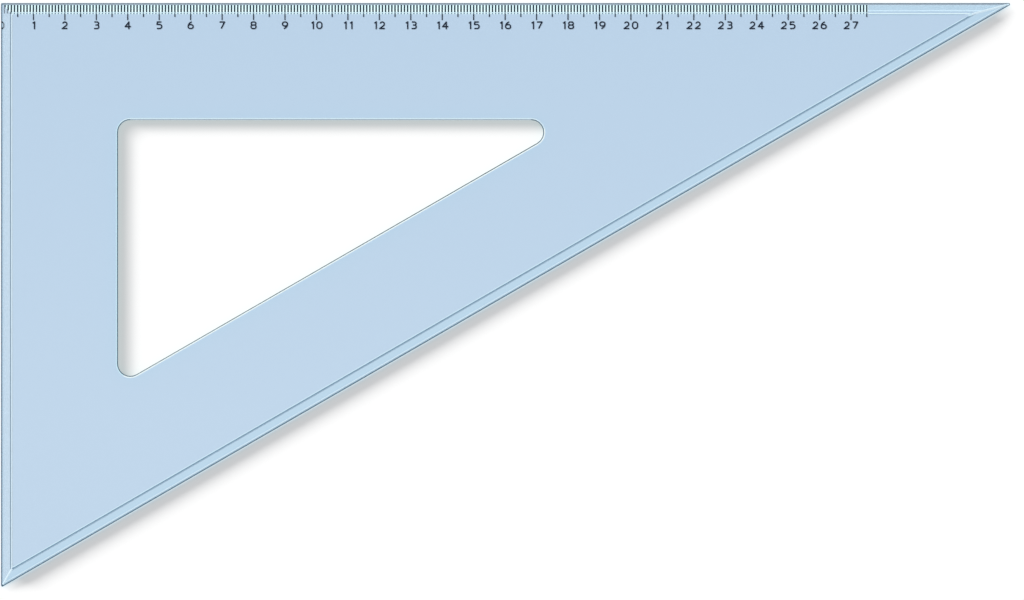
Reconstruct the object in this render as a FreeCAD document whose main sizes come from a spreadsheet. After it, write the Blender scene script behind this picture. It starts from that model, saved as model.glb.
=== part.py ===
"""Clear moulded 30/60 degree set square with a printed millimetre scale.

The plate is drawn from its right-angle corner: +X runs along the long edge, -Y down the
short edge and +Z up from the underside. Every piece is then placed so that the origin is
the middle of the footprint.
"""
import FreeCAD, Part
import math
import os

import Sketcher
from FreeCAD import Placement, Rotation, Vector

# Driving dimensions: alias, value in millimetres or degrees, what it is.
SIZES = (
    ("long_edge", 321.9, "graduated edge, from the right angle to the 30 degree tip"),
    ("acute_angle", 30.0, "angle at the far tip, in degrees"),
    ("plate_thickness", 2.5, "thickness inside the facets"),
    ("edge_thickness", 0.9, "upright land left at the ruling edges"),
    ("facet_width", 3.2, "bevel along each edge, seen from above"),
    ("tip_radius", 0.4, "rounding of the three outer corners"),
    ("border_width", 37.2, "outer edge to cut-out, square to the edge"),
    ("cutout_radius", 3.9, "corners of the cut-out"),
    ("rim_radius", 0.3, "softened rims of the cut-out"),
    ("print_depth", 0.05, "depth of the print in the underside"),
    ("print_margin", 0.8, "long edge to the start of the lines"),
    ("scale_start", 0.25, "short edge to the start of the scale"),
    ("zero_margin", 0.2, "short edge to the zero that it cuts through"),
    ("line_width", 0.32, "width of a scale line"),
    ("line_pitch", 1.0, "distance between neighbouring lines"),
    ("short_overrun", 0.1, "millimetre lines, past the facet"),
    ("middle_overrun", 1.2, "half-centimetre lines, past the facet"),
    ("long_overrun", 2.2, "centimetre lines, past the facet"),
    ("scale_end_margin", 46.0, "least length left plain before the far tip"),
    ("numeral_gap", 0.4, "centimetre line to the top of its numeral"),
    ("digit_height", 2.5, "height of a digit"),
    ("digit_width", 2.0, "width of a digit"),
    ("digit_space", 0.65, "gap between the digits of a numeral"),
    ("stroke_width", 0.42, "thickness of a digit's strokes"),
)

LINES_PER_HALF = 5  # line pitches in half a centimetre
LINES_PER_WHOLE = 10
CUT_MARGIN = 1.0  # how far a facet's cutting wedge reaches past the plate
TOLERANCE = 1e-4

doc = FreeCAD.newDocument("set_square")
sheet = doc.addObject("Spreadsheet::Sheet", "Sizes")
for row, (alias, value, meaning) in enumerate(SIZES, start=1):
    sheet.set(f"A{row}", alias)
    sheet.set(f"B{row}", str(value))
    sheet.set(f"C{row}", meaning)
    sheet.setAlias(f"B{row}", alias)
doc.recompute()

LONG = "Sizes.long_edge"
SLOPE = "tan(Sizes.acute_angle * 1 deg)"
SHORT = f"{LONG} * {SLOPE}"
BORDER = "Sizes.border_width"

# Lines parallel to the sides of an angle meet this many times their offset along it.
FAR_SETBACK = "1 / tan(Sizes.acute_angle * 1 deg / 2)"
NEAR_SETBACK = "1 / tan(45 deg - Sizes.acute_angle * 1 deg / 2)"
INNER_LONG = f"({LONG} - {BORDER} * (1 + {FAR_SETBACK}))"

# The rounded tips leave a footprint a little smaller than the sharp triangle.
FOOTPRINT_LENGTH = f"({LONG} + Sizes.tip_radius * (1 - {FAR_SETBACK}))"
FOOTPRINT_WIDTH = f"({SHORT} + Sizes.tip_radius * (1 - {NEAR_SETBACK}))"

SCALE_ROOM = f"({LONG} - Sizes.scale_start - Sizes.scale_end_margin)"
HALF_COUNT = f"floor({SCALE_ROOM} / ({LINES_PER_HALF} * Sizes.line_pitch))"
WHOLE_COUNT = f"floor({HALF_COUNT} / 2)"


# ---------------------------------------------------------------- helpers


def place(piece, shift_x="0", shift_y="0"):
    """Moves a piece drawn from the right-angle corner, or from a point shifted from it."""
    piece.setExpression("Placement.Base.x", f"{shift_x} - {FOOTPRINT_LENGTH} / 2")
    piece.setExpression("Placement.Base.y", f"{shift_y} + {FOOTPRINT_WIDTH} / 2")


def new_body(name):
    """An empty body, which may hold several separate solids."""
    body = doc.addObject("PartDesign::Body", name)
    body.Label = name
    body.AllowCompound = True
    place(body)
    return body


def new_sketch(body, name, role):
    """A sketch on one of the body's own origin planes."""
    sketch = body.newObject("Sketcher::SketchObject", name)
    plane = [item for item in body.Origin.OriginFeatures if item.Role == role][0]
    sketch.AttachmentSupport = [(plane, "")]
    sketch.MapMode = "FlatFace"
    return sketch


def add_polygon(sketch, corners):
    """A closed outline whose corners are pairs of expressions for their x and y."""
    first = sketch.GeometryCount
    count = len(corners)
    points = [Vector(number(x), number(y), 0) for x, y in corners]
    for i in range(count):
        sketch.addGeometry(Part.LineSegment(points[i], points[(i + 1) % count]), False)
    for i in range(count):
        follower = first + (i + 1) % count
        sketch.addConstraint(Sketcher.Constraint("Coincident", first + i, 2, follower, 1))
    for i, point in enumerate(points):
        for kind, axis, value in (("DistanceX", 0, point.x), ("DistanceY", 1, point.y)):
            rule = Sketcher.Constraint(kind, -1, 1, first + i, 1, value)
            index = sketch.addConstraint(rule)
            sketch.setExpression(f"Constraints[{index}]", corners[i][axis])


def number(expression):
    """The present value of an expression on the sheet."""
    value = sheet.evalExpression(expression.replace("Sizes.", ""))
    return float(getattr(value, "Value", value))


def edges_where(shape, test, upright=False):
    """Names of the edges whose end points all pass a test, or only the upright ones of them."""
    return [
        f"Edge{i}"
        for i, edge in enumerate(shape.Edges, start=1)
        if all(test(vertex.Point) for vertex in edge.Vertexes)
        and (not upright or abs(edge.BoundBox.ZLength - edge.Length) < TOLERANCE)
    ]


def add_fillet(body, name, base, edges, radius):
    """Rounds the named edges of a feature with a radius from the sheet."""
    fillet = body.newObject("PartDesign::Fillet", name)
    fillet.Base = (base, edges)
    fillet.setExpression("Radius", radius)
    doc.recompute()
    return fillet


def add_pocket(body, name, sketch):
    """Cuts a sketch right through the body, both ways from its plane."""
    volume_before = body.Shape.Volume
    pocket = body.newObject("PartDesign::Pocket", name)
    pocket.Profile = sketch
    pocket.Type = "ThroughAll"
    pocket.SideType = "Symmetric"
    doc.recompute()
    if not pocket.Shape.Volume < volume_before - TOLERANCE:
        raise RuntimeError(f"{name} removes nothing")
    return pocket


# ---------------------------------------------------------------- the moulded plate


def plate_body():
    """The moulding before its print: a triangle with faceted edges and a cut-out."""
    body = new_body("moulded_plate")

    outline = new_sketch(body, "outline", "XY_Plane")
    add_polygon(outline, [("0", "0"), (LONG, "0"), ("0", f"-({SHORT})")])
    plate = body.newObject("PartDesign::Pad", "plate")
    plate.Profile = outline
    plate.setExpression("Length", "Sizes.plate_thickness")
    doc.recompute()

    tips = edges_where(plate.Shape, lambda point: True, upright=True)
    add_fillet(body, "rounded_tips", plate, tips, "Sizes.tip_radius")

    add_facets(body)
    add_cutout(body)
    return body


def add_facets(body):
    """Bevels the three edges with one wedge each, so that they meet in mitres."""
    slope = "(Sizes.plate_thickness - Sizes.edge_thickness) / Sizes.facet_width"
    reach = f"Sizes.facet_width + {CUT_MARGIN}"
    top = f"Sizes.plate_thickness + {CUT_MARGIN} * {slope}"
    bottom = f"Sizes.edge_thickness - {CUT_MARGIN} * {slope}"

    # The wedge is drawn across the edge: x inwards from the edge, y up.
    inwards = [(f"-{CUT_MARGIN}", bottom), (reach, top), (f"-{CUT_MARGIN}", top)]
    outwards = [(f"-({x})", y) for x, y in inwards]

    long_wedge = new_sketch(body, "long_wedge", "YZ_Plane")
    add_polygon(long_wedge, outwards)
    add_pocket(body, "long_facet", long_wedge)

    short_wedge = new_sketch(body, "short_wedge", "XZ_Plane")
    add_polygon(short_wedge, inwards)
    add_pocket(body, "short_facet", short_wedge)

    # The third wedge stands at the far tip, turned so that it faces in from the hypotenuse.
    slant_wedge = new_sketch(body, "slant_wedge", "XZ_Plane")
    slant_wedge.AttachmentOffset = Placement(Vector(), Rotation(Vector(0, 1, 0), 120))
    slant_wedge.setExpression("AttachmentOffset.Base.x", LONG)
    slant_wedge.setExpression("AttachmentOffset.Rotation.Angle", "90 + Sizes.acute_angle")
    add_polygon(slant_wedge, inwards)
    add_pocket(body, "slant_facet", slant_wedge)


def add_cutout(body):
    """Cuts the inner triangle, an equal border from all three edges, and softens it."""
    corner_x, corner_y = BORDER, f"-{BORDER}"
    far_x = f"{BORDER} + {INNER_LONG}"
    low_y = f"-{BORDER} - {INNER_LONG} * {SLOPE}"
    window = new_sketch(body, "window", "XY_Plane")
    add_polygon(window, [(corner_x, corner_y), (far_x, corner_y), (corner_x, low_y)])
    cutout = add_pocket(body, "cutout", window)

    border, long_edge = number(BORDER), number(LONG)
    slant = math.radians(number("Sizes.acute_angle"))
    levels = (0.0, number("Sizes.plate_thickness"))

    def inside_border(p):
        """True for a point that is a full border away from every edge of the plate."""
        from_slant = (long_edge - p.x) * math.sin(slant) + p.y * math.cos(slant)
        return min(p.x, -p.y, from_slant) > border - TOLERANCE

    def on_rim(p):
        """True for a point of the cut-out at the top or the underside."""
        return inside_border(p) and min(abs(p.z - level) for level in levels) < TOLERANCE

    uprights = edges_where(cutout.Shape, inside_border, upright=True)
    rounded = add_fillet(body, "cutout_corners", cutout, uprights, "Sizes.cutout_radius")
    add_fillet(body, "soft_rims", rounded, edges_where(rounded.Shape, on_rim), "Sizes.rim_radius")


# ---------------------------------------------------------------- the printed lines


def line_group(name, first_lines, spacing, count, overrun):
    """Scale lines in the underside: the first few, repeated along the edge."""
    body = new_body(name)
    start = "-Sizes.print_margin"
    end = f"-(Sizes.facet_width + Sizes.{overrun})"
    strip = new_sketch(body, f"{name}_sketch", "XY_Plane")
    for place_in_row in first_lines:
        middle_x = f"Sizes.scale_start + {place_in_row} * Sizes.line_pitch"
        low_x, high_x = f"{middle_x} - Sizes.line_width / 2", f"{middle_x} + Sizes.line_width / 2"
        add_polygon(strip, [(low_x, end), (high_x, end), (high_x, start), (low_x, start)])
    ink = body.newObject("PartDesign::Pad", f"{name}_ink")
    ink.Profile = strip
    ink.setExpression("Length", "Sizes.print_depth")
    doc.recompute()

    row = body.newObject("PartDesign::LinearPattern", f"{name}_row")
    row.Originals = [ink]
    row.Direction = (strip, ["H_Axis"])
    row.Mode = "Spacing"
    row.setExpression("Offset", f"{spacing} * Sizes.line_pitch")
    row.setExpression("Occurrences", count)
    body.Tip = row
    doc.recompute()
    return body


# ---------------------------------------------------------------- the printed numerals

# A digit is drawn as strokes of one thickness along centre lines. Its strokes fill a
# rectangle from -w to w and -h to h, the half width and half height of the centre lines.
# Radii and heights are shares of h, and reaches to the left or right are shares of w.
LOWER_BOWL = 0.54  # radius of the lower bowl of 3 and 8
UPPER_WIDTH = 0.92  # width of the upper bowl of 3 and 8 against the lower one
SIX_BOWL = 0.60  # radius of the ring of 6 and 9
FIVE_BOWL = 0.62  # radius of the bowls of 2 and 5
STEM = 0.45  # uprights of 1 and 4 and the upper end of 6, right of the middle
FLAG_REACH, FLAG_END = 0.75, 0.62  # flag of 1: how far left of its upright, and how high
TWO_START = 165  # where the bowl of 2 starts, in degrees
THREE_TOP, THREE_WAIST, THREE_FOOT = 0.75, 0.35, 0.85  # left ends of the level strokes of 3
CROSSBAR = -0.42  # height of the crossbar of 4
FIVE_TOP, FIVE_SHOULDER, FIVE_FOOT = 0.75, 0.85, 0.9  # left ends of the strokes of 5
FIVE_TOP_END = 0.85  # right end of the top bar of 5
SEVEN_FOOT = 0.35  # lower end of the diagonal of 7, left of the middle


def straight(start, end, stroke):
    """A straight stroke with square ends, as a face."""
    start, end = Vector(*start), Vector(*end)
    side = (end - start).cross(Vector(0, 0, 1)).normalize() * stroke / 2
    corners = [start + side, end + side, end - side, start - side, start + side]
    return Part.Face(Part.makePolygon(corners))


def bowed(centre, radius, start_angle, end_angle, stroke):
    """A stroke bent round a centre, anticlockwise between two angles in degrees, as a face."""

    def point(distance, angle):
        turn = math.radians(angle)
        return Vector(centre[0] + distance * math.cos(turn), centre[1] + distance * math.sin(turn))

    inner, outer = radius - stroke / 2, radius + stroke / 2
    middle = (start_angle + end_angle) / 2
    sides = [
        Part.Arc(*(point(outer, angle) for angle in (start_angle, middle, end_angle))),
        Part.LineSegment(point(outer, end_angle), point(inner, end_angle)),
        Part.Arc(*(point(inner, angle) for angle in (end_angle, middle, start_angle))),
        Part.LineSegment(point(inner, start_angle), point(outer, start_angle)),
    ]
    return Part.Face(Part.Wire([side.toShape() for side in sides]))


def joint(centre, stroke):
    """The round joint of two strokes that meet at an angle, as a face."""
    return Part.Face(Part.Wire(Part.makeCircle(stroke / 2, Vector(*centre))))


def ring(half_width, low_y, radius, stroke):
    """A flattened ring: two half circles joined by level strokes."""
    reach, centre_y = half_width - radius, low_y + radius
    return [
        bowed((reach, centre_y), radius, -90, 90, stroke),
        bowed((-reach, centre_y), radius, 90, 270, stroke),
        straight((-reach, low_y), (reach, low_y), stroke),
        straight((-reach, low_y + 2 * radius), (reach, low_y + 2 * radius), stroke),
    ]


def zero(w, h, stroke):
    """An upright ring."""
    return [
        bowed((0, h - w), w, 0, 180, stroke),
        bowed((0, w - h), w, 180, 360, stroke),
        straight((w, w - h), (w, h - w), stroke),
        straight((-w, h - w), (-w, w - h), stroke),
    ]


def one(w, h, stroke):
    """An upright with a short flag, set to the right of a narrow cell."""
    x = STEM * w
    return [
        straight((x, -h - stroke / 2), (x, h + stroke / 2), stroke),
        straight((x, h), (x - FLAG_REACH * w, FLAG_END * h), stroke),
    ]


def two(w, h, stroke):
    """A bowl that runs straight on, by its tangent, to the left end of the base."""
    radius, low = FIVE_BOWL * h, (-w, -h)
    centre = (0, h - radius)
    to_low = math.hypot(low[0] - centre[0], low[1] - centre[1])
    towards_low = math.degrees(math.atan2(low[1] - centre[1], low[0] - centre[0]))
    leaves = towards_low + math.degrees(math.acos(radius / to_low))
    turn = math.radians(leaves)
    tangent = (centre[0] + radius * math.cos(turn), centre[1] + radius * math.sin(turn))
    return [
        bowed(centre, radius, leaves, TWO_START, stroke),
        straight(tangent, low, stroke),
        joint(low, stroke),
        straight((low[0] - stroke / 2, -h), (w, -h), stroke),
    ]


def three(w, h, stroke):
    """Two bowls open to the left, the lower one larger."""
    low_radius = LOWER_BOWL * h
    high_radius, waist = h - low_radius, 2 * low_radius - h
    high_x, low_x = UPPER_WIDTH * w - high_radius, w - low_radius
    return [
        straight((-THREE_TOP * w, h), (high_x, h), stroke),
        bowed((high_x, h - high_radius), high_radius, -90, 90, stroke),
        straight((-THREE_WAIST * w, waist), (max(high_x, low_x), waist), stroke),
        bowed((low_x, low_radius - h), low_radius, -90, 90, stroke),
        straight((-THREE_FOOT * w, -h), (low_x, -h), stroke),
    ]


def four(w, h, stroke):
    """A diagonal, a crossbar and an upright."""
    bar, x = CROSSBAR * h, STEM * w
    return [
        straight((x, h), (-w, bar), stroke),
        joint((x, h), stroke),
        joint((-w, bar), stroke),
        straight((-w, bar), (w + stroke / 2, bar), stroke),
        straight((x, h), (x, -h - stroke / 2), stroke),
    ]


def five(w, h, stroke):
    """A top bar, a short upright and a bowl open to the left."""
    radius = FIVE_BOWL * h
    reach = w - radius
    top, shoulder = (-FIVE_TOP * w, h), (-FIVE_SHOULDER * w, 2 * radius - h)
    return [
        straight(top, (FIVE_TOP_END * w, h), stroke),
        joint(top, stroke),
        straight(top, shoulder, stroke),
        joint(shoulder, stroke),
        straight(shoulder, (reach, shoulder[1]), stroke),
        bowed((reach, radius - h), radius, -90, 90, stroke),
        straight((-FIVE_FOOT * w, -h), (reach, -h), stroke),
    ]


def six(w, h, stroke):
    """A ring whose left side runs on upwards in a wide bow."""
    radius = SIX_BOWL * h
    start_y, end = radius - h, (STEM * w, h)
    across, rise = end[0] + w, end[1] - start_y
    bow = (across**2 + rise**2) / (2 * across)
    ends_at = math.degrees(math.atan2(rise, across - bow))
    return ring(w, -h, radius, stroke) + [bowed((bow - w, start_y), bow, ends_at, 180, stroke)]


def seven(w, h, stroke):
    """A top bar and a diagonal."""
    return [
        straight((-w, h), (w, h), stroke),
        joint((w, h), stroke),
        straight((w, h), (-SEVEN_FOOT * w, -h), stroke),
    ]


def eight(w, h, stroke):
    """Two rings, the lower one larger, that share the stroke at the waist."""
    low_radius = LOWER_BOWL * h
    high_radius, waist = h - low_radius, 2 * low_radius - h
    return ring(w, -h, low_radius, stroke) + ring(UPPER_WIDTH * w, waist, high_radius, stroke)


def nine(w, h, stroke):
    """A six turned upside down."""
    strokes = six(w, h, stroke)
    for stroke_face in strokes:
        stroke_face.rotate(Vector(), Vector(0, 0, 1), 180)
    return strokes


DIGITS = (zero, one, two, three, four, five, six, seven, eight, nine)
NARROW_ONE = 0.62  # width of a 1 against the other digits


def digit_solid(digit, stroke, width, height, depth):
    """One digit, centred on the origin, as a single solid."""
    half_width, half_height = (width - stroke) / 2, (height - stroke) / 2
    strokes = DIGITS[digit](half_width, half_height, stroke)
    solids = [face.extrude(Vector(0, 0, depth)) for face in strokes]
    return solids[0].multiFuse(solids[1:]).removeSplitter().Solids[0]


def numeral(value):
    """The printed number of a centimetre line, centred under it."""
    width, height = number("Sizes.digit_width"), number("Sizes.digit_height")
    space, depth = number("Sizes.digit_space"), number("Sizes.print_depth")
    stroke = number("Sizes.stroke_width")
    digits = [int(character) for character in str(value)]
    widths = [width * NARROW_ONE if digit == 1 else width for digit in digits]

    solids = []
    left = -(sum(widths) + space * (len(digits) - 1)) / 2
    for digit, cell in zip(digits, widths):
        solid = digit_solid(digit, stroke, width, height, depth)
        solid.translate(Vector(left + cell / 2, 0, 0))
        solids.append(solid)
        left += cell + space

    piece = doc.addObject("Part::Feature", f"numeral_{value}")
    piece.Label = f"numeral_{value}"
    piece.Shape = Part.makeCompound(solids)
    along = f"Sizes.scale_start + {value} * {LINES_PER_WHOLE} * Sizes.line_pitch"
    below = "Sizes.facet_width + Sizes.long_overrun + Sizes.numeral_gap + Sizes.digit_height / 2"
    place(piece, along, f"-({below})")
    return piece


def edge_numeral(piece):
    """Keeps the part of the zero that lies on the plate: the short edge cuts it."""
    start, height = number("Sizes.zero_margin - Sizes.scale_start"), number("Sizes.digit_height")
    width, depth = number("Sizes.digit_width"), number("Sizes.print_depth")
    printable = Part.makeBox(width, height, depth, Vector(start, -height / 2, 0))
    piece.Shape = piece.Shape.Solids[0].common(printable)
    return piece


# ---------------------------------------------------------------- the set square

plate = plate_body()

between = range(1, LINES_PER_HALF)
printed = [
    line_group("millimetre_lines", between, LINES_PER_HALF, HALF_COUNT, "short_overrun"),
    line_group("half_centimetre_lines", [LINES_PER_HALF], LINES_PER_WHOLE,
               f"ceil({HALF_COUNT} / 2)", "middle_overrun"),
    line_group("centimetre_lines", [LINES_PER_WHOLE], LINES_PER_WHOLE,
               WHOLE_COUNT, "long_overrun"),
]
numerals = [numeral(value) for value in range(int(number(WHOLE_COUNT)) + 1)]
edge_numeral(numerals[0])
printed += numerals

ink = doc.addObject("Part::Compound", "all_print")
ink.Links = printed
blank = doc.addObject("Part::Cut", "blank")
blank.Label = "blank"
blank.Base = plate
blank.Tool = ink
doc.recompute()

pieces = [blank] + printed
for item in doc.Objects:
    faults = {"Invalid", "Error"} & set(item.State)
    if faults:
        raise RuntimeError(f"{item.Label}: {', '.join(faults)}")
for piece in pieces:
    if piece.Shape.isNull() or not piece.Shape.isValid():
        raise RuntimeError(f"{piece.Label} has no valid shape")

os.makedirs("parts", exist_ok=True)
for piece in pieces:
    piece.Shape.exportStep(f"parts/{piece.Label}.step")
    print(f"{piece.Label}: {len(piece.Shape.Solids)} solids, {piece.Shape.Volume:.3f} mm3")
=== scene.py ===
"""Clear blue 30/60 degree set square, its printed scale and a plain studio.

The file is laid out as an add-on: sizes and colours are properties, and each piece and the
stage have an operator. All lengths are metres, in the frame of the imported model: +X runs along
the graduated edge, +Y from the cut-out towards that edge and +Z up from the table.
"""

import math

import bpy
import numpy as np
from bpy.props import FloatProperty, FloatVectorProperty, PointerProperty
from bpy.types import Operator, Panel, PropertyGroup
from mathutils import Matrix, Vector


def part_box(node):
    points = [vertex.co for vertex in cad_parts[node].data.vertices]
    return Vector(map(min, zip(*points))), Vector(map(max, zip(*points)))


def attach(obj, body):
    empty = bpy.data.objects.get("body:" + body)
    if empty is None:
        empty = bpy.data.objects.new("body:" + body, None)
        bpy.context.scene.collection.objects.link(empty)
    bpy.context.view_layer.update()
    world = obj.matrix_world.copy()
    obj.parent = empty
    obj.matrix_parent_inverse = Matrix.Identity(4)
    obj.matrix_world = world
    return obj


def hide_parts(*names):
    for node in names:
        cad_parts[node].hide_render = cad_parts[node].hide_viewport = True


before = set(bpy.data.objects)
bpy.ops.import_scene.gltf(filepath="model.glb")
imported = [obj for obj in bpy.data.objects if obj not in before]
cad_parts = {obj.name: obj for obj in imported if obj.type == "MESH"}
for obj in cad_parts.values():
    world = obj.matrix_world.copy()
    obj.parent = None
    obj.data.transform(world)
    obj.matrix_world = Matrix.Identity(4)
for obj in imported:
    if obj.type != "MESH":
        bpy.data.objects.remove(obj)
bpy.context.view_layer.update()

bl_info = {
    "name": "Set square",
    "version": (1, 0, 0),
    "blender": (4, 5, 0),
    "location": "3D View > Sidebar > Set square",
    "description": "A clear moulded set square with a printed centimetre scale",
    "category": "Object",
}

MM = 0.001
PLATE_LOW, PLATE_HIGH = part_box("blank")
PRINT_NODES = sorted(set(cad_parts) - {"blank"})
LINES_LOW, LINES_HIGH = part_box("millimetre_lines")
LINE_WIDTH, LINE_PITCH = 0.32 * MM, 1.0 * MM  # of the printed scale
SHADE_START, SHADE_END = 0.19 * MM, 0.28 * MM  # of a line's shade, from the line's middle

PLASTIC_IOR = 1.49
LEVEL_IOR = 1.0  # of the underside, which lies on the table and mirrors nothing
GLOSS, MATT = 0.02, 0.55  # roughness of the plastic and of the ink
INK_SHINE = 0.1  # specular level of the ink
LEAK_FULL, LEAK_END = 0.08 * MM, 0.16 * MM  # height of the leak at an edge's foot, full and at all
CLOUD_SCALE, CLOUDINESS = 9.0, 0.12  # of the soft waves in the plate's tint
GRAIN_SCALE, THIN_INK = 4000.0, 1.6  # of the ink's grain, and how much paler it gets there
WAVE_DETAIL = 2.0  # octaves of either noise
WHITE = (1, 1, 1, 1)
ALL_LIGHT = (1, 1, 1)  # the tint of a way that holds nothing back
DRIFT_END = PLATE_LOW.y / 2  # from here down the plate has its pale tint
RIM_FOOT, RIM_HEAD = 0.65 * PLATE_LOW.x, 0.0  # between which the slanting rim's painted shade darkens
FAR_CLIP = 10  # how many times its distance from the plate the camera sees


# ---------------------------------------------------------------- sizes and colours


def length(name, default, description):
    """A property that holds a length in metres."""
    return FloatProperty(
        name=name, description=description, default=default, min=0.0, unit="LENGTH", precision=5
    )


def colour(name, default, description):
    """A property that holds a linear colour."""
    return FloatVectorProperty(
        name=name, description=description, default=default, min=0.0, max=1.0, size=3,
        subtype="COLOR",
    )


def share(name, default, description):
    """A property that holds a share from nothing to all."""
    return FloatProperty(
        name=name, description=description, default=default, min=0.0, max=1.0, subtype="FACTOR"
    )


class PlateSizes(PropertyGroup):
    """Sizes of the moulded plate, its fine lines and its shadow."""

    acute_angle: FloatProperty(
        name="Acute angle", description="Angle at the far tip", default=math.radians(30),
        unit="ROTATION",
    )
    edge_thickness: length("Edge thickness", 0.9 * MM, "Upright land left at the ruling edges")
    facet_width: length("Facet width", 3.2 * MM, "Bevel along each edge, seen from above")
    border_width: length("Border width", 37.2 * MM, "Outer edge to cut-out, square to the edge")
    tip_radius: length("Tip radius", 0.4 * MM, "Rounding of the three outer corners")
    cutout_radius: length("Cut-out radius", 3.9 * MM, "Corners of the cut-out")
    rim_radius: length("Rim radius", 0.3 * MM, "Softened upper rim of the cut-out")
    edge_radius: length("Edge radius", 0.1 * MM, "Break of the sharp edges")
    # The strips of these two widths carry painted light and shade lines.
    fine_line: length("Fine line", 0.32 * MM, "Each fine line along an edge, facet or crease")
    rim_line: length("Rim line", 0.36 * MM, "Light line beside the rim of the cut-out")
    shade_foot: length("Shade foot", 0.67 * MM, "Height up to which a wall stops the lamp's light")
    shade_head: length("Shade head", 2.4 * MM, "Height from which a wall lets the lamp's light by")
    tip_fade: length("Tip fade", 5.8 * MM, "How far from a tip the shadow starts to fade")
    print_relief: length("Print relief", 0.01 * MM, "How far the print stands out below the plate")


class PlateColours(PropertyGroup):
    """Tints and shares of the clear plastic, and the colour of the ink."""

    deep: colour("Deep tint", (0.484, 0.631, 0.79), "Plate beside the graduated edge")
    pale: colour("Pale tint", (0.522, 0.665, 0.818), "Plate towards the foot of the short edge")
    facet: colour("Facet", (0.50, 0.695, 0.82), "Facet of the slanting edge")
    # Painted light: a copy of the facet for the short edge, which faces the lamp, tinted and frosted to
    # show lighter than the other facets.
    lit_facet: colour("Lit facet", (0.472, 0.586, 0.686), "Facet of the short edge")
    scale_facet: colour("Scale facet", (0.472, 0.625, 0.746), "Facet past the end of the scale")
    # Painted light between the scale's printed lines and painted shade over them, on the facet.
    gap_light: colour("Scale gap", (0.76, 0.97, 1.0), "Facet between two lines of the scale")
    tick_shade: colour("Scale line", (0.01, 0.043, 0.08), "Facet over a line of the scale")
    # Painted light: light strips beside the edge and on the facet, past the scale.
    scale_edge: colour("Scale edge", (0.55, 0.685, 0.80), "Facet beside the edge, past the scale")
    scale_glint: colour("Scale glint", (0.68, 0.87, 1.0), "Light line on the facet, past the scale")
    # Painted light on the strip beside the crease along the scale, and painted shade on it past the
    # scale.
    scale_lip: colour("Scale lip", (0.68, 0.88, 0.95), "Facet beside its crease, along the scale")
    lip_end_shade: colour("Lip end", (0.39, 0.52, 0.68), "The same strip past the end of the scale")
    # The crease's painted highlight, darker over the foot of each printed line.
    scale_dot: colour("Scale dot", (0.10, 0.22, 0.34), "Lit crease over the foot of a line")
    scale_foot: colour("Scale foot", (0.52, 0.70, 0.82), "Inner side of the crease at the scale")
    # Painted shade on the crease's inner side past the scale.
    soft_line: colour("Soft line", (0.267, 0.417, 0.566), "The same strip past the end of the scale")
    # Painted shade, down to slant_shade: the dark upright lands, the dark lines along the three ruling
    # edges and the shade beside them stand in for how light bends at the plate's edges.
    edge: colour("Edge", (0.055, 0.082, 0.108), "Upright lands, and the graduated edge's line")
    near_edge_shade: colour("Near edge", (0.009, 0.027, 0.034), "Line along the short edge")
    edge_shade: colour("Edge shade", (0.27, 0.31, 0.35), "Shade beside the graduated edge's line")
    slant_edge_shade: colour("Slant edge", (0.018, 0.032, 0.046), "Line along the slanting edge")
    slant_shade: colour("Slant shade", (0.33, 0.42, 0.50), "Shade beside the slanting edge's line")
    # Painted shade along the creases between facet and top, and faint painted shade beside the short
    # edge's lines.
    slant_line: colour("Slant line", (0.045, 0.105, 0.18), "Inner side of the slanting crease")
    dark_line: colour("Dark line", (0.095, 0.155, 0.21), "Outer side of the short edge's crease")
    shade_line: colour("Shade line", (0.22, 0.33, 0.42), "Outer side of the slanting crease")
    faint_line: colour("Faint line", (0.44, 0.54, 0.62), "Faint shade beside the short edge's lines")
    # Painted highlights: light lines at the rims, on the facets, along the creases and on the mitres.
    light_line: colour("Light line", (0.9, 1.0, 1.0), "Light lines at the rims and on the facets")
    crease_light: colour("Crease light", (0.80, 0.985, 1.0), "Lit crease of the graduated edge")
    bright_line: colour("Bright line", (0.742, 0.905, 1.0), "Lit crease of the short edge, and mitres")
    glint: colour("Glint", (0.70, 0.95, 1.0), "Faint light line of a crease or rim")
    # Painted shade: dark lines along the cut-out's rim and round its corners.
    near_rim_shade: colour("Near rim", (0.009, 0.025, 0.042), "Rim beside the short edge, and corners")
    far_rim_shade: colour("Far rim", (0.238, 0.277, 0.32), "Rim beside the graduated edge")
    slant_rim_shade: colour("Slant rim", (0.07, 0.09, 0.095), "Slanting rim at its foot")
    deep_rim_shade: colour("Deep rim", (0.015, 0.027, 0.033), "Slanting rim at its head")
    edge_way: colour("Edge way", (0.85, 0.97, 1.0), "Room light past the graduated edge, and edge lines")
    side_way: colour("Side way", (0.35, 0.8, 1.0), "Room light past the other two lands")
    wall_way: colour("Wall way", (0.8, 1.0, 1.0), "Room light past the cut-out's wall")
    seep: colour("Seep", (0.0, 0.01, 0.03), "Lamp light that edges and walls still let by")
    ink: colour("Ink", (0.006, 0.012, 0.026), "Print of the scale")
    leak: share("Leak", 0.4, "Share of the lamp's light that comes in at the foot of an edge")
    frosting: share("Frosting", 0.28, "Share of a lit facet that scatters light")
    # Frosting of the painted light lines, mitres and crease, so that they show brighter under the lamp.
    line_frosting: share("Line frosting", 0.75, "The same share for the lit lines and mitres")
    lit_frosting: share("Lit frosting", 0.8, "The same share for the graduated edge's crease")
    sheen: share("Sheen", 0.25, "How much the plastic shines head on, against full glass")


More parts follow.
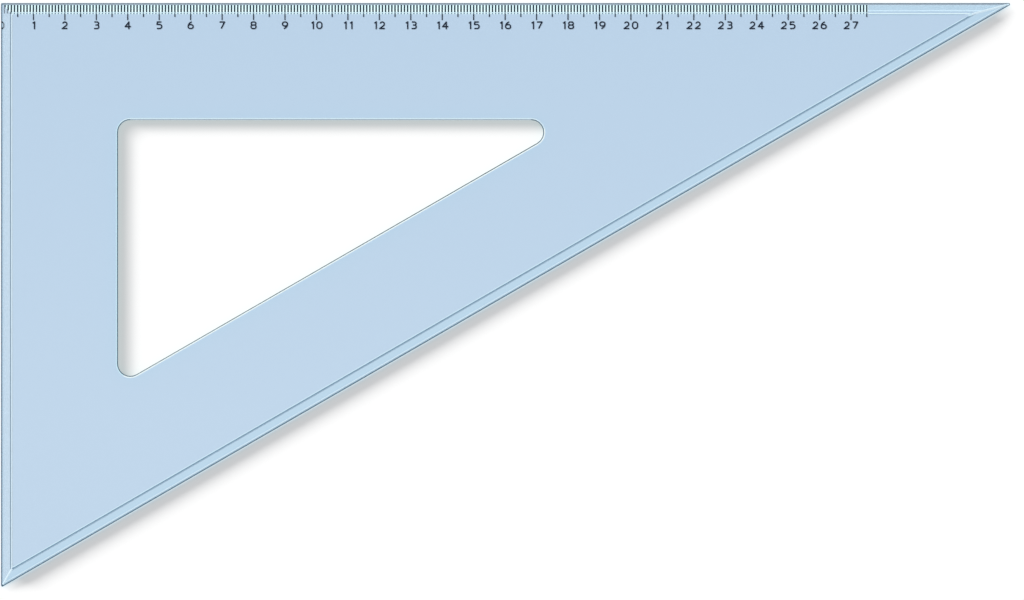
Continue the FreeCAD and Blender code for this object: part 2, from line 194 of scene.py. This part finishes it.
class StageSettings(PropertyGroup):
    """The lamp, the room's light, the table and the camera."""

    lamp_height: FloatProperty(
        name="Lamp height", description="Elevation of the lamp", default=math.radians(16.0),
        unit="ROTATION",
    )
    lamp_bearing: FloatProperty(
        name="Lamp bearing", description="Where the lamp stands, turned from +X towards +Y",
        default=math.radians(143), unit="ROTATION",
    )
    lamp_spread: FloatProperty(
        name="Lamp spread", description="Angle that the lamp fills", default=math.radians(11),
        unit="ROTATION",
    )
    lamp_share: share("Lamp share", 0.417, "Share of the floor's light that comes from the lamp")
    floor_light: FloatProperty(
        name="Floor light", description="Light on the floor, where 1 shows a colour as written",
        default=1.02, min=0.0,
    )
    floor_gap: length("Floor gap", 0.01 * MM, "Air between the table and the lowest print")
    floor_size: length("Floor size", 60.0, "Width of the table")
    view_width: length("View width", 325.56 * MM, "Width of the view at the plate")
    view_x: FloatProperty(
        name="View X", description="Middle of the view", default=2.056 * MM, unit="LENGTH",
        precision=5,
    )
    view_y: FloatProperty(
        name="View Y", description="Middle of the view", default=-1.644 * MM, unit="LENGTH",
        precision=5,
    )
    lens: FloatProperty(
        name="Lens", description="Focal length in millimetres", default=800.0, unit="CAMERA"
    )


# ---------------------------------------------------------------- shapes


CORNER_STEPS = 8  # faces round a corner of a loop
ROUND_STEPS = 5  # faces across a rounded edge of the section
SUPPORT = 0.02 * MM  # narrow strip that keeps a flat face flat beside a bend


def unit(angle):
    """Unit vectors at angles in radians, along a new last axis."""
    return np.stack([np.cos(angle), np.sin(angle)], axis=-1)


def triangle(sizes):
    """The sharp outline, anticlockwise from the right angle, and each side's inward normal.

    A corner of angle a, rounded with radius r, lies r (1 / tan(a / 2) - 1) inside the sharp
    one along an axis that its side follows. So that much is added to the box of the plate.
    """
    far = sizes.acute_angle
    near = math.pi / 2 - far
    length_x = PLATE_HIGH.x - PLATE_LOW.x + sizes.tip_radius * (1 / math.tan(far / 2) - 1)
    length_y = PLATE_HIGH.y - PLATE_LOW.y + sizes.tip_radius * (1 / math.tan(near / 2) - 1)
    corner = np.array([PLATE_LOW.x, PLATE_HIGH.y])
    corners = corner + np.array([[0, 0], [0, -length_y], [length_x, 0]])
    along = np.roll(corners, -1, axis=0) - corners
    along /= np.linalg.norm(along, axis=1, keepdims=True)
    inward = np.stack([-along[:, 1], along[:, 0]], axis=1)
    return corners, inward


def loops(corners, inward, depth, radius):
    """Rounded outlines, each `depth` inside the triangle with its corners of `radius`.

    The centre of a corner's arc is the corner of the triangle depth + radius inside, which is
    P + (depth + radius) (n1 + n2) / (1 + n1 . n2) for the inward normals n1 and n2 of the two
    sides. The arc turns the outward normal evenly from the first side's to the second's.
    The result has the axes section point, corner, place round the corner, and x and y.
    """
    before, after = np.roll(inward, 1, axis=0), inward
    spread = (before + after) / (1 + np.sum(before * after, axis=1, keepdims=True))
    centre = corners + (depth + radius)[:, None, None] * spread
    start = np.arctan2(-before[:, 1], -before[:, 0])
    turn = (np.arctan2(-after[:, 1], -after[:, 0]) - start) % (2 * math.pi)
    steps = np.linspace(0, 1, CORNER_STEPS + 1)
    outward = unit(start[:, None] + turn[:, None] * steps)
    arc = centre[:, :, None] + radius[:, None, None, None] * outward
    back = SUPPORT * np.stack([-before[:, 1], before[:, 0]], axis=1)
    on = SUPPORT * np.stack([after[:, 1], -after[:, 0]], axis=1)
    first = arc[:, :, :1] + back[:, None]
    last = arc[:, :, -1:] + on[:, None]
    return np.concatenate([first, arc, last], axis=2)


def rounded_section(points):
    """A closed section from (depth, height, radius, face after, face of the bend) points.

    A bend of radius r through the angle t starts r tan(t / 2) before its point and turns the
    normal evenly. A narrow strip stands on both sides of it. Gives the places as an array and
    the name of each face between one place and the next.
    """
    places, names = [], []
    corner = np.array([p[:2] for p in points])
    for i, (_, _, radius, after, bend) in enumerate(points):
        into = corner[i] - corner[i - 1]
        out = corner[(i + 1) % len(points)] - corner[i]
        into, out = into / np.linalg.norm(into), out / np.linalg.norm(out)
        turn = math.atan2(into[0] * out[1] - into[1] * out[0], into @ out)
        if radius == 0:
            places.append(corner[i][None])
            names.append(after)
            continue
        cut = radius * math.tan(abs(turn) / 2)
        normal = math.copysign(1, turn) * np.array([-into[1], into[0]])
        centre = corner[i] - cut * into + radius * normal
        start = math.atan2(-normal[1], -normal[0])
        arc = centre + radius * unit(start + turn * np.linspace(0, 1, ROUND_STEPS + 1))
        places += [(arc[0] - SUPPORT * into)[None], arc, (arc[-1] + SUPPORT * out)[None]]
        names += [points[i - 1][3]] + [bend] * ROUND_STEPS + [after] * 2
    return np.concatenate(places), names


def plate_section(sizes):
    """The section of the border, from a ruling edge in over the top and back underneath."""
    top = PLATE_HIGH.z
    under = PLATE_LOW.z + sizes.print_relief
    edge, facet, border = sizes.edge_thickness, sizes.facet_width, sizes.border_width
    line, rim = sizes.fine_line, sizes.rim_radius
    slope = (top - edge) / facet
    sharp = sizes.edge_radius
    print_start, print_end = PLATE_HIGH.y - LINES_HIGH.y, PLATE_HIGH.y - LINES_LOW.y

    def facet_point(depth, after):
        """A point on the facet, and the face that follows it."""
        return depth, edge + slope * depth, 0, after, None

    return rounded_section([
        # Fine strips along the edge, the facet, the crease and the rim carry painted light and shade
        # lines.
        (0.0, edge, sharp, "edge_line", "edge"),
        facet_point(line, "edge_shade"),
        facet_point(2 * line, "edge_glint"),
        facet_point(3 * line, "facet"),
        facet_point(facet - 3 * line, "facet_glint"),
        facet_point(facet - 2 * line, "facet"),
        facet_point(facet - line, "crease_outer"),
        (facet, top, sharp, "crease_middle", "crease_outer"),
        (facet + line, top, 0, "crease_inner", None),
        (facet + 2 * line, top, 0, "face", None),
        (border - rim - sizes.rim_line, top, 0, "rim_line", None),
        (border, top, rim, "wall", "rim"),
        (border, under, sharp, "underside", "wall"),
        (print_end, under, 0, "under_scale", None),
        (print_start, under, 0, "underside", None),
        (0.0, under, sharp, "edge", "edge"),
    ])


def carried_round(sizes):
    """The plate's points and faces: its section carried round the rounded triangle.

    A section point at depth u lies on the outline u inside the edges. Its corners have the tip
    radius out on the facets, and near the cut-out the cut-out's radius and what is left to the
    wall. Between the two the radius changes evenly, where the plate is level.
    """
    section, names = plate_section(sizes)
    depth, height = section[:, 0], section[:, 1]
    near_wall = 3 * sizes.rim_radius
    known = [sizes.facet_width, sizes.border_width - near_wall, sizes.border_width]
    wanted = [sizes.tip_radius, sizes.cutout_radius + near_wall, sizes.cutout_radius]
    radius = np.interp(depth, known, wanted)
    outline = loops(*triangle(sizes), depth, radius)
    rows, sides, around, _ = outline.shape
    level = np.broadcast_to(height[:, None, None, None], (rows, sides, around, 1))
    points = np.concatenate([outline, level], axis=3).reshape(-1, 3)

    columns = sides * around
    index = np.arange(rows * columns).reshape(rows, columns)
    on, up = np.roll(index, -1, axis=1), np.roll(index, -1, axis=0)
    across = np.roll(on, -1, axis=0)
    faces = np.stack([index, on, across, up], axis=-1).reshape(-1, 4)
    return points, faces, names, sides, around


# The finish of each face on the short, the slanting and the long side, in the outline's order. Most
# strips carry painted light and shade: dark lines at the edges, creases and rim, and light lines beside
# them.
FINISHES = {
    "edge": ("side", "side", "edge"),
    "edge_line": ("near_edge_shade", "slant_edge_shade", "edge"),
    "edge_shade": ("faint_line", "slant_shade", "edge_shade"),
    "edge_glint": ("lit_facet", "slant_glint", "scale_edge"),
    "facet": ("lit_facet", "facet", "scale_facet"),
    "facet_glint": ("lit_facet", "facet", "scale_glint"),
    "crease_outer": ("dark_line", "shade_line", "scale_lip"),
    "crease_middle": ("light_line", "slant_line", "lit_crease"),
    "crease_inner": ("faint_line", "glint", "soft_line"),
    "face": ("plate", "plate", "plate"),
    "rim_line": ("rim_glint", "rim_frosted_light", "rim_light"),
    "rim": ("near_rim_shade", "slant_rim_shade", "far_rim_shade"),
    "wall": ("wall", "wall", "wall"),
    "underside": ("underside", "underside", "underside"),
    "under_scale": ("underside", "underside", "under_scale"),
}
# The finish at the right angle, the lower tip and the far tip, on so many faces either way of the
# corner's middle: painted highlights on the mitres of both tips and at the far end of the edge's line
# and of the crease, the plain tint beside that crease's end, and painted shade on the rim all round each
# corner of the cut-out.
ALL_ROUND = CORNER_STEPS // 2
MITRES = (ALL_ROUND - 1, (None, "light_line", "light_line"))
CORNER_FINISHES = {
    "edge_line": (ALL_ROUND // 2, (None, None, "light_line")),
    "edge_shade": MITRES,
    "edge_glint": MITRES,
    "facet": MITRES,
    "facet_glint": MITRES,
    "crease_outer": MITRES,
    "crease_middle": (ALL_ROUND, (None, None, "glint")),
    "crease_inner": (ALL_ROUND, (None, None, "plate")),
    "rim": (ALL_ROUND, ("near_rim_shade", "near_rim_shade", "near_rim_shade")),
}


def finish_of_faces(names, sides, around, slots):
    """The material slot of each face.

    Half of each corner goes with the side before it and half with the side after it, except
    where the corner has a finish of its own.
    """
    middle = (around - 1) // 2
    column = np.arange(sides * around)
    corner, place = column // around, column % around
    side = (corner - (place < middle)) % sides
    by_side = [[slots.index(finish) for finish in FINISHES[name]] for name in names]
    finish = np.array(by_side)[:, side]
    for row, name in enumerate(names):
        reach, at_corners = CORNER_FINISHES.get(name, (0, ()))
        for index, special in enumerate(at_corners):
            if special:
                here = (corner == index) & (place >= middle - reach) & (place < middle + reach)
                finish[row, here] = slots.index(special)
    return finish


def new_mesh_object(name, points, faces):
    """An object at the origin whose mesh has these points and faces, shaded smooth."""
    mesh = bpy.data.meshes.new(name)
    mesh.from_pydata(points, [], faces)
    mesh.polygons.foreach_set("use_smooth", np.ones(len(faces), bool))
    mesh.update()
    piece = bpy.data.objects.new(name, mesh)
    bpy.context.scene.collection.objects.link(piece)
    return piece


# ---------------------------------------------------------------- materials


def new_material(name):
    """An empty node material, its tree and its output."""
    material = bpy.data.materials.new(name)
    material.use_nodes = True
    tree = material.node_tree
    tree.nodes.clear()
    return material, tree, tree.nodes.new("ShaderNodeOutputMaterial")


def mixed(tree, factor, first, second):
    """The first shader where the factor is 0 and the second where it is 1."""
    mix = tree.nodes.new("ShaderNodeMixShader")
    for socket, output in zip(mix.inputs, (factor, first, second)):
        tree.links.new(output, socket)
    return mix.outputs[0]


def calculated(tree, operation, first, second=0.0, third=0.0):
    """A Math node's result. Each value is a number or an output."""
    node = tree.nodes.new("ShaderNodeMath")
    node.operation = operation
    for socket, value in zip(node.inputs, (first, second, third)):
        if isinstance(value, float):
            socket.default_value = value
        else:
            tree.links.new(value, socket)
    return node.outputs[0]


def ranged(tree, value, start, end, first=0.0, last=1.0):
    """A value carried from between start and end to between first and last."""
    node = tree.nodes.new("ShaderNodeMapRange")
    tree.links.new(value, node.inputs["Value"])
    limits = {"From Min": start, "From Max": end, "To Min": first, "To Max": last}
    for name, limit in limits.items():
        node.inputs[name].default_value = limit
    return node.outputs[0]


def place_on(tree, axis):
    """The place on an axis of the piece."""
    parts = tree.nodes.new("ShaderNodeSeparateXYZ")
    tree.links.new(tree.nodes.new("ShaderNodeTexCoord").outputs["Object"], parts.inputs[0])
    return parts.outputs[axis]


def waves(tree, scale):
    """Soft noise over the piece."""
    noise = tree.nodes.new("ShaderNodeTexNoise")
    noise.inputs["Scale"].default_value = scale
    noise.inputs["Detail"].default_value = WAVE_DETAIL
    tree.links.new(tree.nodes.new("ShaderNodeTexCoord").outputs["Object"], noise.inputs["Vector"])
    return noise.outputs["Fac"]


def ramped(tree, part, *tints):
    """A colour that goes evenly through the tints as a part of the way grows from 0 to 1."""
    ramp = tree.nodes.new("ShaderNodeValToRGB")
    stops = ramp.color_ramp.elements
    while len(stops) < len(tints):
        stops.new(1.0)
    for place, tint in enumerate(tints):
        stops[place].position = place / (len(tints) - 1)
        stops[place].color = (*tint, 1)
    tree.links.new(part, ramp.inputs["Fac"])
    return ramp.outputs["Color"]


def see_through(tree, tint=ALL_LIGHT):
    """A shader that lets light straight by, tinted by a colour or an output."""
    shader = tree.nodes.new("ShaderNodeBsdfTransparent")
    if isinstance(tint, bpy.types.NodeSocket):
        tree.links.new(tint, shader.inputs["Color"])
    else:
        shader.inputs["Color"].default_value = (*tint, 1)
    return shader.outputs[0]


def clear_plastic(
    name, tint, sheen, lamp_way=None, room_way=ALL_LIGHT, frosting=0.0, pattern=None,
    ior=PLASTIC_IOR,
):
    """Clear tinted plastic, of which a share `frosting` scatters light instead.

    Its tint is even, unless `pattern` gives the tint at each place. Light from the room goes
    straight through it, as through thin glass, so the table under it is lit, tinted by
    `room_way`. The lamp's light does so too, unless `lamp_way` gives the colour in which a face
    lets the lamp's light in from outside, on a way that meets no plastic before.
    """
    material, tree, out = new_material(name)
    plastic = tree.nodes.new("ShaderNodeBsdfPrincipled")
    plastic.inputs["Base Color"].default_value = (*tint, 1)
    plastic.inputs["Transmission Weight"].default_value = 1.0 - frosting
    plastic.inputs["Roughness"].default_value = GLOSS
    plastic.inputs["IOR"].default_value = ior
    plastic.inputs["Specular Tint"].default_value = (sheen, sheen, sheen, 1)
    if pattern is not None:
        tree.links.new(pattern(tree), plastic.inputs["Base Color"])

    clear = see_through(tree)
    path = tree.nodes.new("ShaderNodeLightPath")
    lit = see_through(tree, room_way)
    surface = mixed(tree, path.outputs["Is Diffuse Ray"], plastic.outputs[0], lit)
    passed = clear
    if lamp_way is not None:
        inside = tree.nodes.new("ShaderNodeNewGeometry").outputs["Backfacing"]
        in_plastic = calculated(tree, "MAXIMUM", inside, path.outputs["Transparent Depth"])
        in_plastic = calculated(tree, "MINIMUM", in_plastic, 1.0)
        passed = mixed(tree, in_plastic, see_through(tree, lamp_way(tree)), clear)
    surface = mixed(tree, path.outputs["Is Shadow Ray"], surface, passed)
    tree.links.new(surface, out.inputs["Surface"])
    return material


def let_by(axis, start, end, seep, both_ways=False, leak=0.0):
    """Lets in more of the lamp's light from start to end on an axis, or both ways from 0.

    A share `leak` of it comes in at the foot of the face as well.
    """

    def way(tree):
        """The colour let in at each place, from what seeps in anyway to all of it."""
        place = place_on(tree, axis)
        if both_ways:
            place = calculated(tree, "ABSOLUTE", place)
        part = ranged(tree, place, start, end)
        if leak:
            at_foot = ranged(tree, place_on(tree, "Z"), LEAK_FULL, LEAK_END, leak, 0.0)
            part = calculated(tree, "MAXIMUM", part, at_foot)
        return ramped(tree, part, seep, ALL_LIGHT)

    return way


def blended(first, second, axis, start, end, unevenness=0.0):
    """A tint that drifts from the first to the second along an axis, with soft waves in it."""

    def pattern(tree):
        """The tint at each place."""
        part = ranged(tree, place_on(tree, axis), start, end)
        if unevenness:
            part = calculated(tree, "MULTIPLY_ADD", waves(tree, CLOUD_SCALE), unevenness, part)
        return ramped(tree, part, first, second)

    return pattern


def between_lines(at_line, in_gap, beyond):
    """One tint at the lines of the scale, another in the gaps and a third past the scale's end. Through
    them the strips along the scale carry painted light and shade, for most of them darker over the
    printed lines and lighter between them.

    The gap's tint comes with the distance to the nearest line, which swings between nothing
    and half a pitch. Of the three tints it is the middle one, half way along.
    """
    first_line = LINES_LOW.x + LINE_WIDTH / 2
    end = LINES_HIGH.x + LINE_PITCH
    half_way = 0.5

    def pattern(tree):
        """The tint at each place."""
        place = place_on(tree, "X")
        along = calculated(tree, "SUBTRACT", place, first_line)
        off_line = calculated(tree, "PINGPONG", along, LINE_PITCH / 2)
        part = ranged(tree, off_line, SHADE_START, SHADE_END, 0.0, half_way)
        past = ranged(tree, place, end, end + LINE_WIDTH)
        return ramped(tree, calculated(tree, "MAXIMUM", part, past), at_line, in_gap, beyond)

    return pattern


def printing_ink(name, tint):
    """Matt ink, a little uneven where it took to the plastic."""
    material, tree, out = new_material(name)
    ink = tree.nodes.new("ShaderNodeBsdfPrincipled")
    ink.inputs["Roughness"].default_value = MATT
    ink.inputs["Specular IOR Level"].default_value = INK_SHINE
    thin = [THIN_INK * level for level in tint]
    uneven = ramped(tree, waves(tree, GRAIN_SCALE), tint, thin)
    tree.links.new(uneven, ink.inputs["Base Color"])
    tree.links.new(ink.outputs[0], out.inputs["Surface"])
    return material


# ---------------------------------------------------------------- operators


class SETSQUARE_OT_plate(Operator):
    """Builds the clear moulded plate in place of its plain solid"""

    bl_idname = "setsquare.plate"
    bl_label = "Build plate"

    def execute(self, context):
        sizes, colours = context.scene.plate_sizes, context.scene.plate_colours
        points, faces, names, sides, around = carried_round(sizes)
        plate = new_mesh_object("clear_plate", points, faces)
        finishes = self.finishes(sizes, colours)
        for name, finish in finishes.items():
            material = clear_plastic(f"clear_{name}", sheen=colours.sheen, **finish)
            plate.data.materials.append(material)
        slots = finish_of_faces(names, sides, around, list(finishes))
        plate.data.polygons.foreach_set("material_index", slots.ravel().astype(np.int32))
        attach(plate, "root")
        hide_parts("blank")
        return {"FINISHED"}

    def finishes(self, sizes, colours):
        """How each finish is made."""
        tip = PLATE_HIGH.x
        near_tip = ("X", tip - sizes.tip_fade, tip, colours.seep)
        by_tips = let_by(*near_tip, both_ways=True)
        by_foot = let_by(*near_tip, both_ways=True, leak=colours.leak)
        up_wall = let_by("Z", sizes.shade_foot, sizes.shade_head, colours.seep)
        drift = blended(
            colours.deep, colours.pale, "Y", PLATE_HIGH.y, DRIFT_END, unevenness=CLOUDINESS
        )
        # Painted light and shade along the scale: darker over the printed lines, lighter between them,
        # and other tints past the scale's end.
        shaded_lines_lit_gaps = between_lines(colours.tick_shade, colours.gap_light, colours.scale_facet)
        glints = between_lines(colours.tick_shade, colours.light_line, colours.scale_glint)
        by_edge = between_lines(colours.tick_shade, colours.gap_light, colours.scale_edge)
        lip = between_lines(colours.scale_lip, colours.scale_lip, colours.lip_end_shade)
        dots = between_lines(colours.scale_dot, colours.crease_light, colours.crease_light)
        foot = between_lines(colours.scale_foot, colours.scale_foot, colours.soft_line)
        # Painted shade: the slanting rim's dark line darkens along it.
        darkening = blended(colours.slant_rim_shade, colours.deep_rim_shade, "X", RIM_FOOT, RIM_HEAD)
        at_edge = {"lamp_way": by_tips, "room_way": colours.edge_way}
        return {
            "plate": {"tint": colours.pale, "pattern": drift},
            "underside": {"tint": colours.pale, "pattern": drift, "ior": LEVEL_IOR},
            # Under the printed lines the underside gets painted shade over them and painted light
            # between them.
            "under_scale": {
                "tint": colours.scale_facet, "pattern": shaded_lines_lit_gaps, "frosting": colours.frosting,
                "ior": LEVEL_IOR,
            },
            "facet": {"tint": colours.facet, "lamp_way": by_tips},
            # Painted light: the short edge's facet, which faces the lamp.
            "lit_facet": {"tint": colours.lit_facet, "frosting": colours.frosting},
            # Along the scale: painted shade over the printed lines, painted light between them and on
            # the glint and edge strips, and a lip beside the crease painted light along the scale and
            # shaded past it.
            "scale_facet": {
                "tint": colours.scale_facet, "pattern": shaded_lines_lit_gaps, "frosting": colours.frosting,
            },
            "scale_edge": {
                "tint": colours.scale_edge, "pattern": by_edge, "frosting": colours.frosting,
            },
            "scale_glint": {
                "tint": colours.scale_glint, "pattern": glints, "frosting": colours.frosting,
            },
            "scale_lip": {
                "tint": colours.scale_facet, "pattern": lip, "frosting": colours.frosting,
            },
            # Painted shade: the dark lands, the dark lines along the ruling edges and the shade beside
            # them.
            "edge": {"tint": colours.edge, **at_edge},
            "side": {"tint": colours.edge, "lamp_way": by_foot, "room_way": colours.side_way},
            "near_edge_shade": {"tint": colours.near_edge_shade, **at_edge},
            "edge_shade": {"tint": colours.edge_shade, **at_edge},
            "slant_edge_shade": {"tint": colours.slant_edge_shade, **at_edge},
            "slant_shade": {"tint": colours.slant_shade, **at_edge},
            # Painted shade along the creases, past the scale's end, and beside the short edge's lines.
            "slant_line": {"tint": colours.slant_line, "lamp_way": by_tips},
            "dark_line": {"tint": colours.dark_line, "lamp_way": by_tips},
            "shade_line": {"tint": colours.shade_line, "lamp_way": by_tips},
            "soft_line": {"tint": colours.soft_line, "pattern": foot},
            "faint_line": {"tint": colours.faint_line},
            # Painted highlights: light lines and glints at the creases, the facets, the rims and the
            # mitres.
            "glint": {"tint": colours.glint, "lamp_way": by_tips},
            "slant_glint": {"tint": colours.light_line, "lamp_way": by_tips},
            "light_line": {
                "tint": colours.bright_line, "lamp_way": by_tips,
                "frosting": colours.line_frosting,
            },
            "lit_crease": {
                "tint": colours.crease_light, "pattern": dots, "frosting": colours.lit_frosting,
            },
            "rim_light": {"tint": colours.light_line},
            "rim_frosted_light": {"tint": colours.light_line, "frosting": colours.line_frosting},
            "rim_glint": {"tint": colours.glint},
            # Painted shade: the dark rim of the cut-out.
            "near_rim_shade": {"tint": colours.near_rim_shade},
            "far_rim_shade": {"tint": colours.far_rim_shade},
            "slant_rim_shade": {"tint": colours.slant_rim_shade, "pattern": darkening},
            "wall": {
                "tint": colours.pale, "pattern": drift, "lamp_way": up_wall,
                "room_way": colours.wall_way,
            },
        }


class SETSQUARE_OT_print(Operator):
    """Inks the lines and numerals of the scale"""

    bl_idname = "setsquare.print"
    bl_label = "Ink print"

    def execute(self, context):
        ink = printing_ink("scale_ink", context.scene.plate_colours.ink)
        for name in PRINT_NODES:
            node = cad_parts[name]
            node.data.materials.clear()
            node.data.materials.append(ink)
        return {"FINISHED"}


class SETSQUARE_OT_stage(Operator):
    """Makes the white table, the lamp, the room's light and the camera"""

    bl_idname = "setsquare.stage"
    bl_label = "Build stage"

    def execute(self, context):
        settings = context.scene.stage_settings
        self.floor(settings)
        self.lamp(settings)
        self.room(settings)
        self.camera(settings)
        context.scene.view_settings.view_transform = "Standard"
        return {"FINISHED"}

    def floor(self, settings):
        """A level white table just under the print."""
        half = settings.floor_size / 2
        z = PLATE_LOW.z - settings.floor_gap
        points = [(-half, -half, z), (half, -half, z), (half, half, z), (-half, half, z)]
        floor = new_mesh_object("table", points, [(0, 1, 2, 3)])
        material, tree, out = new_material("table_white")
        white = tree.nodes.new("ShaderNodeBsdfDiffuse")
        white.inputs["Color"].default_value = WHITE
        tree.links.new(white.outputs[0], out.inputs["Surface"])
        floor.data.materials.append(material)

    def lamp(self, settings):
        """A wide lamp low at the upper left, which gives its share of the table's light."""
        height, bearing = settings.lamp_height, settings.lamp_bearing
        lamp = bpy.data.lights.new("lamp", "SUN")
        lamp.angle = settings.lamp_spread
        level = settings.floor_light * settings.lamp_share
        lamp.energy = math.pi * level / math.sin(height)
        thing = bpy.data.objects.new("lamp", lamp)
        towards = Vector((
            math.cos(height) * math.cos(bearing),
            math.cos(height) * math.sin(bearing),
            math.sin(height),
        ))
        thing.rotation_euler = towards.to_track_quat("Z", "Y").to_euler()
        bpy.context.scene.collection.objects.link(thing)

    def room(self, settings):
        """Even light from all round, seen as white behind the plate and in its plastic."""
        world = bpy.data.worlds.new("room")
        bpy.context.scene.world = world
        world.use_nodes = True
        tree = world.node_tree
        tree.nodes.clear()
        out = tree.nodes.new("ShaderNodeOutputWorld")
        light = tree.nodes.new("ShaderNodeBackground")
        light.inputs["Color"].default_value = WHITE
        light.inputs["Strength"].default_value = settings.floor_light * (1 - settings.lamp_share)
        white = tree.nodes.new("ShaderNodeBackground")
        white.inputs["Color"].default_value = WHITE
        path = tree.nodes.new("ShaderNodeLightPath")
        seen = path.outputs["Is Camera Ray"]
        for kind in ("Is Glossy Ray", "Is Transmission Ray"):
            seen = calculated(tree, "MAXIMUM", seen, path.outputs[kind])
        shown = mixed(tree, seen, light.outputs[0], white.outputs[0])
        tree.links.new(shown, out.inputs["Surface"])

    def camera(self, settings):
        """A long lens straight above the plate."""
        data = bpy.data.cameras.new("camera")
        data.lens = settings.lens
        distance = settings.view_width * settings.lens / data.sensor_width
        data.clip_end = FAR_CLIP * distance
        camera = bpy.data.objects.new("camera", data)
        camera.location = (settings.view_x, settings.view_y, PLATE_HIGH.z + distance)
        bpy.context.scene.collection.objects.link(camera)
        bpy.context.scene.camera = camera


class SETSQUARE_PT_panel(Panel):
    """Lists the sizes, the colours and the steps"""

    bl_idname = "SETSQUARE_PT_panel"
    bl_label = "Set square"
    bl_space_type = "VIEW_3D"
    bl_region_type = "UI"
    bl_category = "Set square"

    def draw(self, context):
        for group in GROUPS:
            settings = getattr(context.scene, group)
            box = self.layout.box()
            for name in settings.__annotations__:
                box.prop(settings, name)
        for step in STEPS:
            self.layout.operator(step.bl_idname)


STEPS = (SETSQUARE_OT_plate, SETSQUARE_OT_print, SETSQUARE_OT_stage)
GROUPS = {
    "plate_sizes": PlateSizes,
    "plate_colours": PlateColours,
    "stage_settings": StageSettings,
}


def register():
    """Registers the properties, the operators and the panel."""
    for name, group in GROUPS.items():
        bpy.utils.register_class(group)
        setattr(bpy.types.Scene, name, PointerProperty(type=group))
    for step in STEPS:
        bpy.utils.register_class(step)
    bpy.utils.register_class(SETSQUARE_PT_panel)


def unregister():
    """Removes what register added."""
    bpy.utils.unregister_class(SETSQUARE_PT_panel)
    for step in reversed(STEPS):
        bpy.utils.unregister_class(step)
    for name, group in GROUPS.items():
        delattr(bpy.types.Scene, name)
        bpy.utils.unregister_class(group)


def main():
    """Builds the set square and its stage."""
    register()
    bpy.ops.setsquare.plate()
    bpy.ops.setsquare.print()
    bpy.ops.setsquare.stage()


if __name__ == "__main__":
    main()
